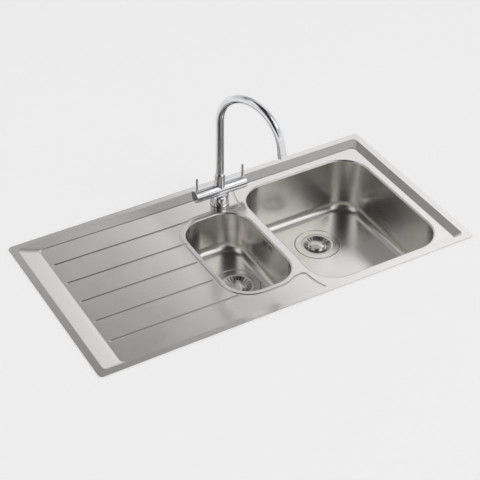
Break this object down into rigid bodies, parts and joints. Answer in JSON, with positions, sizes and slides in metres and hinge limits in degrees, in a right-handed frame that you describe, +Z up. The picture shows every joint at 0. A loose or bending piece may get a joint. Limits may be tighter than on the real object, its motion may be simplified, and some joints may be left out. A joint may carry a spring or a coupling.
{
  "type": "kitchen sink with drainer",
  "caption": "Inset steel kitchen sink with a main bowl, a half bowl, a grooved drainer on the left and a swan-neck mixer tap with pin levers.",
  "frame": {"origin": "centre of the cut-out in the worktop, on the worktop surface that the rim seal rests on", "axes": "+X along the long side from the drainer to the main bowl, +Y to the back where the tap stands, +Z up out of the worktop"},
  "size_m": [1, 0.51, 0.5748],
  "materials": {
    "steel_top": "fine brushed sheet, slightly warm",
    "steel_bowl": "satin deep-drawn sheet",
    "steel_fitting": "polished pressed steel",
    "zinc_steel": "zinc plated",
    "chrome_tap": "bright chrome plate",
    "brass_inner": "machined",
    "rubber_black": "matte",
    "plastic_white": "moulded"
  },
  "bodies": {
    "sink": {"sink_top": "steel_top", "main_bowl": "steel_bowl", "half_bowl": "steel_bowl", "rim_seal": "rubber_black", "clip_rails": "zinc_steel", "fixing_clips": "zinc_steel", "clip_pads": "rubber_black", "clip_screws": "zinc_steel", "sound_pads": "rubber_black", "strainer_cup_main": "steel_fitting", "top_seal_main": "rubber_black", "waste_gasket_main": "rubber_black", "waste_body_main": "plastic_white", "waste_bolt_main": "steel_fitting", "strainer_cup_half": "steel_fitting", "top_seal_half": "rubber_black", "waste_gasket_half": "rubber_black", "waste_body_half": "plastic_white", "waste_bolt_half": "steel_fitting", "overflow_cover": "steel_fitting", "overflow_screw": "steel_fitting", "overflow_gasket": "rubber_black", "overflow_elbow": "plastic_white", "overflow_pipe": "plastic_white", "tap_foot": "chrome_tap", "tap_base_seal": "rubber_black", "tap_bar": "chrome_tap", "spout_collar": "chrome_tap", "collar_nut": "chrome_tap", "spout_bush": "plastic_white", "cartridge_left": "brass_inner", "cartridge_right": "brass_inner", "tap_stud": "zinc_steel", "tap_rubber_washer": "rubber_black", "tap_clamp_plate": "zinc_steel", "tap_nut": "brass_inner"},
    "spout": {"spout_tube": "chrome_tap", "spout_rings": "rubber_black", "aerator_shell": "chrome_tap", "aerator_insert": "plastic_white"},
    "lever_left": {"handle_left": "chrome_tap", "lever_pin_left": "chrome_tap", "spindle_left": "brass_inner"},
    "lever_right": {"handle_right": "chrome_tap", "lever_pin_right": "chrome_tap", "spindle_right": "brass_inner"},
    "plug_main": {"basket_main": "steel_fitting", "basket_seal_main": "rubber_black", "basket_knob_main": "steel_fitting"},
    "plug_half": {"basket_half": "steel_fitting", "basket_seal_half": "rubber_black", "basket_knob_half": "steel_fitting"}
  },
  "joints": [
    {"name": "spout_swivel", "type": "hinge", "parent": "sink", "child": "spout", "pos_m": [0.037, 0.176, 0.0678], "axis": [0, 0, 1], "range_deg": [-109, 71]},
    {"name": "lever_left_turn", "type": "hinge", "parent": "sink", "child": "lever_left", "pos_m": [-0.0172, 0.176, 0.0343], "axis": [1, 0, 0], "range_deg": [0, 90]},
    {"name": "lever_right_turn", "type": "hinge", "parent": "sink", "child": "lever_right", "pos_m": [0.0912, 0.176, 0.0343], "axis": [1, 0, 0], "range_deg": [0, 90]},
    {"name": "basket_main_lift", "type": "slide", "parent": "sink", "child": "plug_main", "axis": [0, 0, 1], "range_m": [0, 0.06]},
    {"name": "basket_half_lift", "type": "slide", "parent": "sink", "child": "plug_half", "axis": [0, 0, 1], "range_m": [0, 0.06]}
  ]
}
